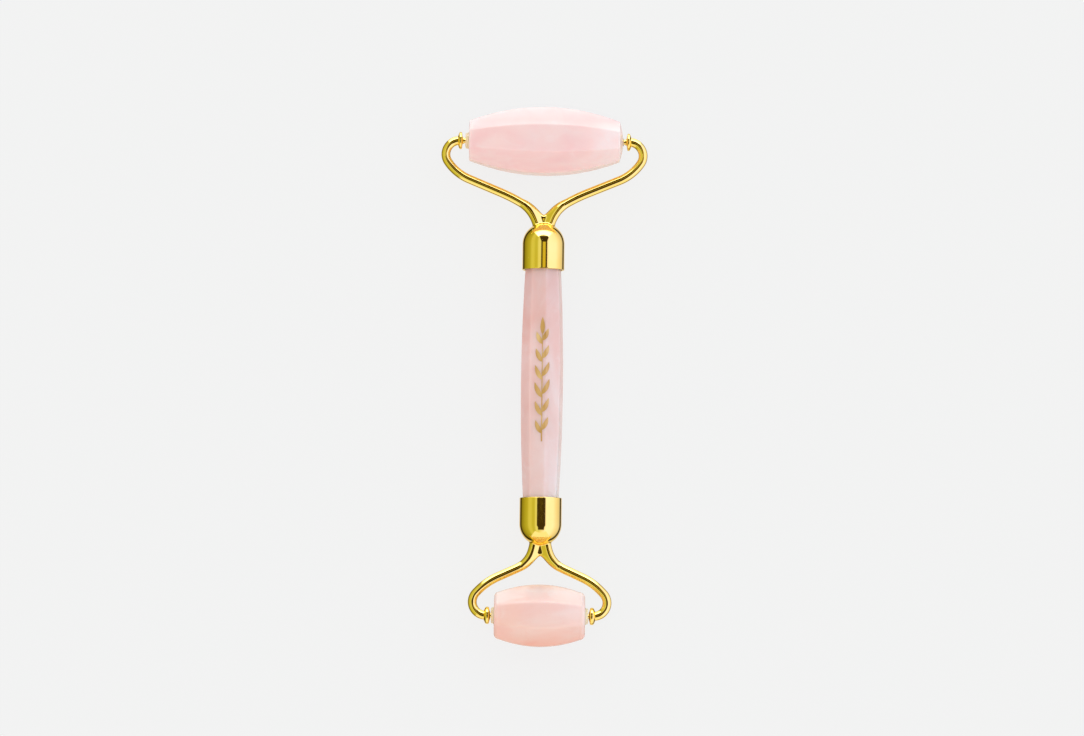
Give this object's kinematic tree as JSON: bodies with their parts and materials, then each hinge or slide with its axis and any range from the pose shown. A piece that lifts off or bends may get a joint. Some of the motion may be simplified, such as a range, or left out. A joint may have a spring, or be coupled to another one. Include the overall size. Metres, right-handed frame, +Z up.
{
  "type": "face roller",
  "caption": "Double-ended facial massage roller: a faceted stone handle, a wide and a short stone barrel that spin in wire forks.",
  "frame": {"origin": "middle of the footprint of the object as it lies flat, on the surface under its large barrel", "axes": "+Y along the handle towards the large barrel, +X to the right along the barrels' axles, +Z up"},
  "size_m": [0.0556, 0.1452, 0.0179],
  "materials": {
    "rose_quartz": "polished, translucent",
    "gold_plate": "mirror-polished gold plate",
    "brass": "as cast",
    "steel": "turned",
    "nylon": "translucent"
  },
  "bodies": {
    "handle": {"handle_stone": "rose_quartz", "upper_ferrule": "gold_plate", "upper_fork_root": "brass", "upper_stud": "steel", "upper_left_arm": "gold_plate", "upper_left_collar": "gold_plate", "upper_left_pin": "gold_plate", "upper_right_arm": "gold_plate", "upper_right_collar": "gold_plate", "upper_right_pin": "gold_plate", "lower_ferrule": "gold_plate", "lower_fork_root": "brass", "lower_stud": "steel", "lower_left_arm": "gold_plate", "lower_left_collar": "gold_plate", "lower_left_pin": "gold_plate", "lower_right_arm": "gold_plate", "lower_right_collar": "gold_plate", "lower_right_pin": "gold_plate"},
    "upper_roller": {"upper_roller_stone": "rose_quartz", "upper_left_bush": "nylon", "upper_right_bush": "nylon"},
    "lower_roller": {"lower_roller_stone": "rose_quartz", "lower_left_bush": "nylon", "lower_right_bush": "nylon"}
  },
  "joints": [
    {"name": "upper_roller_spin", "type": "hinge", "parent": "handle", "child": "upper_roller", "pos_m": [0, 0.0636, 0.00896], "axis": [1, 0, 0], "continuous": true},
    {"name": "lower_roller_spin", "type": "hinge", "parent": "handle", "child": "lower_roller", "pos_m": [0, -0.0643, 0.00896], "axis": [1, 0, 0], "continuous": true}
  ]
}
